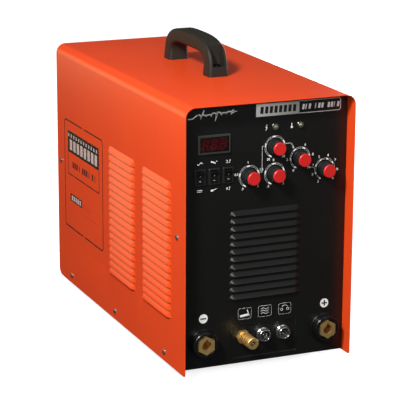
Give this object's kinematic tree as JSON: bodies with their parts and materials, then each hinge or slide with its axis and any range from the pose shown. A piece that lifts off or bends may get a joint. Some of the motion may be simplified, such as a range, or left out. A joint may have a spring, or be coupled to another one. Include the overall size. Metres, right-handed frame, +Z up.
{
  "type": "tig welding machine",
  "caption": "Portable inverter arc welder in a louvred sheet-metal case with a carrying handle, knobs, rocker switches, weld sockets and a gas outlet.",
  "frame": {"origin": "on the ground under the middle of the machine, fittings included", "axes": "+Z up, -Y out of the control panel, +X to the right seen from the front"},
  "size_m": [0.2428, 0.516, 0.409],
  "materials": {
    "orange_powder_coat": "satin powder coat",
    "black_powder_coat": "fine satin powder coat",
    "zinc_plate": "bright zinc plating",
    "handle_plastic": "moulded, fine grain",
    "black_plastic": "moulded",
    "red_cap_plastic": "moulded, satin",
    "foot_rubber": "moulded",
    "red_filter": "tinted acrylic",
    "display_resin": "potted display",
    "lamp_lens": "clear diffused lens",
    "chrome_plate": "polished plating",
    "brass": "turned",
    "aluminium": "extruded",
    "circuit_board": "solder mask",
    "ferrite_and_copper": "wound core",
    "capacitor_sleeve": "shrink sleeve",
    "hose_rubber": "smooth"
  },
  "bodies": {
    "case": {"base_tray": "black_powder_coat", "cable_gland": "black_plastic", "capacitors": "capacitor_sleeve", "control_board": "circuit_board", "control_insert_2_pin": "black_plastic", "control_insert_3_pin": "black_plastic", "control_socket_2_pin": "chrome_plate", "control_socket_3_pin": "chrome_plate", "cover": "orange_powder_coat", "cover_screws": "zinc_plate", "display_bezel": "black_plastic", "display_filter": "red_filter", "display_module": "display_resin", "earth_bolt": "brass", "fan_frame": "black_plastic", "fan_guard": "zinc_plate", "fan_screws": "zinc_plate", "feet_screws": "zinc_plate", "front_panel": "black_powder_coat", "gas_hose": "hose_rubber", "gas_inlet": "brass", "gas_outlet_body": "brass", "gas_valve": "brass", "handle": "handle_plastic", "handle_screws": "zinc_plate", "heat_sinks": "aluminium", "lamp_bezels": "chrome_plate", "mains_switch_frame": "black_plastic", "output_reactor": "ferrite_and_copper", "panel_nuts": "zinc_plate", "potentiometers": "zinc_plate", "power_board": "circuit_board", "power_lamp": "lamp_lens", "rear_panel": "black_powder_coat", "rubber_feet": "foot_rubber", "switch_frame_1": "black_plastic", "switch_frame_2": "black_plastic", "switch_frame_3": "black_plastic", "transformer": "ferrite_and_copper", "warning_lamp": "lamp_lens", "weld_insert_minus": "brass", "weld_insert_plus": "brass", "weld_socket_minus": "black_plastic", "weld_socket_plus": "black_plastic"},
    "adjusting_knob_1": {"knob_1": "black_plastic", "knob_cap_1": "red_cap_plastic"},
    "adjusting_knob_2": {"knob_2": "black_plastic", "knob_cap_2": "red_cap_plastic"},
    "adjusting_knob_3": {"knob_3": "black_plastic", "knob_cap_3": "red_cap_plastic"},
    "adjusting_knob_4": {"knob_4": "black_plastic", "knob_cap_4": "red_cap_plastic"},
    "adjusting_knob_5": {"knob_5": "black_plastic", "knob_cap_5": "red_cap_plastic"},
    "mode_rocker_1": {"switch_rocker_1": "black_plastic"},
    "mode_rocker_2": {"switch_rocker_2": "black_plastic"},
    "mode_rocker_3": {"switch_rocker_3": "black_plastic"},
    "mains_rocker": {"mains_switch_rocker": "black_plastic"},
    "gas_coupler_sleeve": {"gas_outlet_sleeve": "brass"},
    "cooling_fan": {"fan_rotor": "black_plastic"}
  },
  "joints": [
    {"name": "knob_1_turn", "type": "hinge", "parent": "case", "child": "adjusting_knob_1", "pos_m": [-0.0215, -0.232, 0.2605], "axis": [0, -1, 0], "range_deg": [-150, 150]},
    {"name": "knob_2_turn", "type": "hinge", "parent": "case", "child": "adjusting_knob_2", "pos_m": [0.014, -0.232, 0.2605], "axis": [0, -1, 0], "range_deg": [-150, 150]},
    {"name": "knob_3_turn", "type": "hinge", "parent": "case", "child": "adjusting_knob_3", "pos_m": [0.014, -0.232, 0.296], "axis": [0, -1, 0], "range_deg": [-150, 150]},
    {"name": "knob_4_turn", "type": "hinge", "parent": "case", "child": "adjusting_knob_4", "pos_m": [0.0496, -0.232, 0.2782], "axis": [0, -1, 0], "range_deg": [-150, 150]},
    {"name": "knob_5_turn", "type": "hinge", "parent": "case", "child": "adjusting_knob_5", "pos_m": [0.0852, -0.232, 0.2605], "axis": [0, -1, 0], "range_deg": [-150, 150]},
    {"name": "switch_1_tip", "type": "hinge", "parent": "case", "child": "mode_rocker_1", "pos_m": [-0.0898, -0.2225, 0.2652], "axis": [1, 0, 0], "range_deg": [-18, 0]},
    {"name": "switch_2_tip", "type": "hinge", "parent": "case", "child": "mode_rocker_2", "pos_m": [-0.0705, -0.2225, 0.2652], "axis": [1, 0, 0], "range_deg": [-18, 0]},
    {"name": "switch_3_tip", "type": "hinge", "parent": "case", "child": "mode_rocker_3", "pos_m": [-0.0512, -0.2225, 0.2652], "axis": [1, 0, 0], "range_deg": [-18, 0]},
    {"name": "mains_switch_tip", "type": "hinge", "parent": "case", "child": "mains_rocker", "pos_m": [0.062, 0.23383, 0.272], "axis": [-1, 0, 0], "range_deg": [-18, 0]},
    {"name": "gas_sleeve_slide", "type": "slide", "parent": "case", "child": "gas_coupler_sleeve", "axis": [0, 1, 0], "range_m": [0, 0.0035], "stiffness_N_per_m": 900, "springref_m": -0.004},
    {"name": "fan_spin", "type": "hinge", "parent": "case", "child": "cooling_fan", "pos_m": [0, 0.222, 0.102], "axis": [0, 1, 0], "continuous": true}
  ]
}
